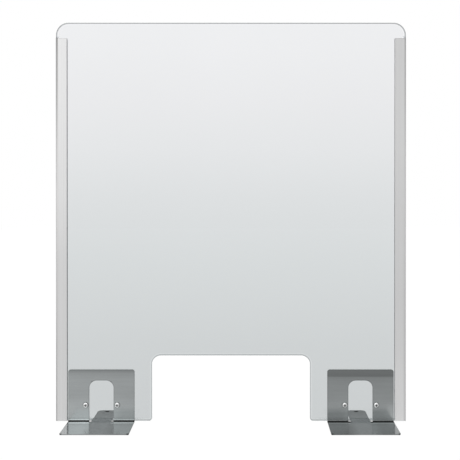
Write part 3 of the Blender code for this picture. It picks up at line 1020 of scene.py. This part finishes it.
def screw_mesh():
    """Pan head screw along Z: seat at Z = 0, crown up, shank down. The recess gets the second material."""
    low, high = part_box("screw_right_inner")
    head = (high.x - low.x) / 2
    length = high.y - low.y - HEAD_HEIGHT
    crown = HEAD_HEIGHT - HEAD_RIM_HEIGHT
    profile = [(0, -length), (SHANK_RADIUS - SHANK_TIP_CHAMFER, -length)]
    profile += [(SHANK_RADIUS, -length + SHANK_TIP_CHAMFER), (SHANK_RADIUS, 0)]
    profile += [(head - HEAD_EASE, 0), (head - 0.3 * HEAD_EASE, 0.3 * HEAD_EASE), (head, HEAD_EASE)]
    for step in range(DOME_STEPS):
        angle = math.pi / 2 * step / DOME_STEPS
        height = HEAD_RIM_HEIGHT + crown * math.sin(angle)
        profile.append((head * math.cos(angle) ** HEAD_FULLNESS, height))
    profile.append((0, HEAD_HEIGHT))
    mesh = combined(turned(profile), [("DIFFERENCE", recess_cutter())], "pan_head_screw")
    floor = HEAD_HEIGHT - RECESS_DEPTH
    for face in mesh.polygons:
        near_axis = face.center.xy.length < RECESS_SPAN / 2
        below_crown = floor - MERGE < face.center.z < HEAD_HEIGHT - RECESS_LIP
        face.material_index = int(near_axis and below_crown and off_dome(face, head, crown))
    return mesh


def off_dome(face, head, crown):
    """True if the face lies under the domed crown, and so belongs to the recess."""
    share = min(1.0, face.center.xy.length / head)
    angle = math.acos(share ** (1 / HEAD_FULLNESS))
    return face.center.z < HEAD_RIM_HEIGHT + crown * math.sin(angle) - DOME_MARGIN


def cap_nut_mesh():
    """Domed cap nut along Z: seat at Z = 0, dome up, blind bore open at the seat."""
    corner = NUT_ACROSS_FLATS / math.sqrt(3)
    angles = [math.pi / 3 * step for step in range(6)]
    hexagon = [Vector((corner * math.cos(a), corner * math.sin(a))) for a in angles]
    outside = corner + NUT_CHAMFER
    slope = NUT_CHAMFER * (outside - NUT_FACE_RADIUS) / (corner - NUT_FACE_RADIUS)
    limits = turned(
        [
            (0, -slope),
            (NUT_FACE_RADIUS, 0),
            (outside, slope),
            (outside, NUT_HEX_HEIGHT - slope),
            (NUT_FACE_RADIUS, NUT_HEX_HEIGHT),
            (0, NUT_HEX_HEIGHT + slope),
        ]
    )
    low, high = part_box("cap_nut_right_inner")
    height = high.y - low.y
    shoulder = height - NUT_DOME_RADIUS
    profile = [(0, NUT_DOME_ROOT), (NUT_DOME_RADIUS, NUT_DOME_ROOT)]
    for step in range(DOME_STEPS):
        angle = math.pi / 2 * step / DOME_STEPS
        profile.append((NUT_DOME_RADIUS * math.cos(angle), shoulder + NUT_DOME_RADIUS * math.sin(angle)))
    profile.append((0, height))
    bore = CLEARANCE_HOLE / 2
    depth = NUT_BORE_DEPTH
    drill = turned([(0, -depth), (bore, -depth), (bore, depth), (0, depth)])
    steps = [("INTERSECT", limits), ("UNION", turned(profile)), ("DIFFERENCE", drill)]
    base = slab([hexagon], [(0, 0, 0), (0, NUT_HEX_HEIGHT, 0)])
    return combined(base, steps, "domed_cap_nut")


def washer_mesh():
    low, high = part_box("rear_washer_right_inner")
    outer = (high.x - low.x) / 2
    inner = CLEARANCE_HOLE / 2
    thickness = high.y - low.y
    ease = WASHER_EASE
    profile = [
        (inner + ease, 0),
        (outer - ease, 0),
        (outer - 0.3 * ease, 0.3 * ease),
        (outer, ease),
        (outer, thickness - ease),
        (outer - 0.3 * ease, thickness - 0.3 * ease),
        (outer - ease, thickness),
        (inner + ease, thickness),
        (inner, thickness - ease),
        (inner, ease),
    ]
    return mesh_of(turned(profile), "round_washer")


def add_fixings(bright, recess, nylon):
    """The screw, washer and cap nut at each of the four fixing points."""
    screw = screw_mesh()
    nut = cap_nut_mesh()
    washer = washer_mesh()
    forward = (math.pi / 2, 0, 0)
    backward = (-math.pi / 2, 0, 0)
    for word in SCREW_WORDS:
        centre = centre_of(f"screw_{word}")
        for kind, mesh, looks, slot, turn in (
            ("screw", screw, [bright, recess], "bright_steel", forward),
            ("rear_washer", washer, [nylon], "nylon", backward),
            ("cap_nut", nut, [bright], "bright_steel", backward),
        ):
            node = f"{kind}_{word}"
            low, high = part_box(node)
            seat = low.y + HEAD_HEIGHT if kind == "screw" else low.y
            add_piece(f"finished_{node}", mesh, looks, node, (centre.x, seat, centre.z), turn)


def dress_cad_nodes(nylon, soft_pvc):
    """Sleeves and channel liners keep their CAD shape and get a finish."""
    for name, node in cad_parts.items():
        for kind, look in (("sleeve", nylon), ("channel_liner", soft_pvc)):
            if name.startswith(kind):
                node.data.materials.clear()
                node.data.materials.append(look)


# ---------------------------------------------------------------- surroundings

FLOOR_SIZE = 12.0
FLOOR_LEVEL = -0.0002
FLOOR_GLOW = 0.97
FLOOR_MATT = (0.04, 0.04, 0.04, 1)
CONTACT_FADE = 1.5 * MM
CONTACT_SETBACK = 5.0 * MM
CONTACT_DEPTH = 0.95
SLOT_SHADE_REACH = 25 * MM
SLOT_DEPTH = 0.5

# Brightness of the surround from straight down to straight up, on each side of the front and behind
FRONT_LEFT = ((0.0, 0.85), (0.32, 0.80), (0.36, 0.70), (0.45, 0.84), (0.53, 1.05), (0.66, 1.70))
FRONT_RIGHT = ((0.0, 0.95), (0.30, 0.85), (0.36, 0.56), (0.45, 0.72), (0.52, 0.76), (0.66, 0.70))
BEHIND = ((0.0, 0.60), (0.50, 0.50), (0.62, 0.52), (0.80, 0.8))
LEFT_TO_RIGHT = ((0.0, 0.0), (0.05, 0.05), (0.16, 0.45), (0.3, 0.70), (0.5, 0.85), (0.8, 1.0))
SIDEWAYS = (0.22, 0.22, 0.23, 1)
OVERHEAD = (1.25, 1.25, 1.25, 1)

CAMERA_SENSOR = 36
CAMERA_LENS = 68.06
CAMERA_SHIFT = (-0.0419, -0.12)
CAMERA_PLACE = (0.0367, -1.73535, 0.5019)
CAMERA_DIP = math.radians(0.2)


def contact_shade(tree):
    """How dark the desk is painted right under the steel: most under each foot and tongue, less in the
    slots."""
    x, y, _ = parts_of(tree, object_place(tree))
    aside = maths(tree, "SUBTRACT", maths(tree, "ABSOLUTE", x), centre_of("bracket_right").x)
    shade = None
    for width, front, back, depth in (
        (BRACKET_WIDTH, BRACKET_LOW.y, BEND_START, CONTACT_DEPTH),
        (TONGUE_WIDTH, BEND_START, BRACKET_HIGH.y, CONTACT_DEPTH),
        (OPENING_WIDTH, BEND_START, BEND_START + SLOT_SHADE_REACH, SLOT_DEPTH),
    ):
        reach = width / 2 - CONTACT_FADE
        across = bump_of(tree, aside, -reach, reach, CONTACT_FADE)
        along = bump_of(tree, y, front + CONTACT_SETBACK, back, CONTACT_FADE)
        patch = product(tree, across, along, depth)
        shade = patch if shade is None else maths(tree, "MAXIMUM", shade, patch)
    return shade


def add_floor():
    """Plain white floor. Polished metal doesn't mirror it, so it only lights the piece from below."""
    bpy.ops.mesh.primitive_grid_add(x_subdivisions=4, y_subdivisions=4, size=FLOOR_SIZE)
    floor = bpy.context.object
    floor.name = "studio_floor"
    floor.location = (0, 0, FLOOR_LEVEL)
    material, tree = new_material("studio floor")
    glow = maths(tree, "MULTIPLY_ADD", contact_shade(tree), -FLOOR_GLOW, FLOOR_GLOW)
    white = wire(tree, "Emission", {"Color": WHITE, "Strength": glow}).outputs[0]
    matt = wire(tree, "BsdfDiffuse", {"Color": FLOOR_MATT}).outputs[0]
    finish_with(tree, wire(tree, "AddShader", {0: white, 1: matt}).outputs[0])
    floor.data.materials.append(material)
    floor.visible_glossy = False


def add_world():
    """Soft studio surround: white to the eye, brighter overhead, dim at the sides and behind."""
    world = bpy.data.worlds.new("studio")
    bpy.context.scene.world = world
    world.use_nodes = True
    tree = world.node_tree
    tree.nodes.clear()
    x, y, z = parts_of(tree, wire(tree, "TexCoord").outputs["Generated"])
    height = spread(tree, z, -1.0, 1.0, smooth=False)
    left, right, behind = (ramp(tree, height, stops) for stops in (FRONT_LEFT, FRONT_RIGHT, BEHIND))
    to_right = ramp(tree, spread(tree, x, -0.2, 0.2, smooth=False), LEFT_TO_RIGHT)
    level = colour_between(tree, to_right, left, right)
    level = colour_between(tree, spread(tree, y, -0.35, 0.25), level, behind)
    level = colour_between(tree, spread(tree, maths(tree, "ABSOLUTE", x), 0.45, 0.85), level, SIDEWAYS)
    level = colour_between(tree, spread(tree, z, 0.55, 0.85), level, OVERHEAD)
    level = colour_between(tree, wire(tree, "LightPath").outputs["Is Camera Ray"], level, WHITE)
    background = wire(tree, "Background", {"Color": level, "Strength": 1.0}).outputs[0]
    wire(tree, "OutputWorld", {"Surface": background})


def add_softbox(name, size, power, location, aim):
    lamp = bpy.data.lights.new(name, "AREA")
    lamp.shape = "RECTANGLE"
    lamp.size, lamp.size_y = size
    lamp.energy = power
    box = bpy.data.objects.new(name, lamp)
    bpy.context.scene.collection.objects.link(box)
    box.location = location
    box.rotation_euler = (Vector(aim) - Vector(location)).to_track_quat("-Z", "Y").to_euler()
    box.visible_camera = False


def add_camera():
    camera_data = bpy.data.cameras.new("camera")
    camera = bpy.data.objects.new("camera", camera_data)
    bpy.context.scene.collection.objects.link(camera)
    camera_data.sensor_width = CAMERA_SENSOR
    camera_data.lens = CAMERA_LENS
    camera_data.shift_x, camera_data.shift_y = CAMERA_SHIFT
    camera.location = CAMERA_PLACE
    camera.rotation_euler = (math.pi / 2 - CAMERA_DIP, 0, 0)
    bpy.context.scene.camera = camera


def main():
    bright = bright_steel_material()
    nylon = moulded_material("nylon", NYLON, 0.42)
    soft_pvc = moulded_material("soft pvc", SOFT_PVC, 0.6)
    # The left and right steel differ only in their painted light and shade
    steels = {word: steel_material(f"brushed steel {word}", sheen) for word, sheen in STEEL_SHEEN.items()}
    add_sheet([acrylic_face_material(), acrylic_edge_material()])
    add_channels([aluminium_material()])
    add_brackets(steels)
    add_pads([rubber_material()])
    add_fixings(bright, recess_material(), nylon)
    dress_cad_nodes(nylon, soft_pvc)
    add_floor()
    add_world()
    add_softbox("overhead softbox", (1.6, 1.2), 14, (0.1, -0.5, 2.3), (0, 0, 0.2))
    add_softbox("side softbox", (0.6, 1.4), 6, (-1.9, -0.9, 1.2), (0, 0, 0.3))
    add_camera()
    bpy.context.scene.view_settings.view_transform = "Standard"


main()
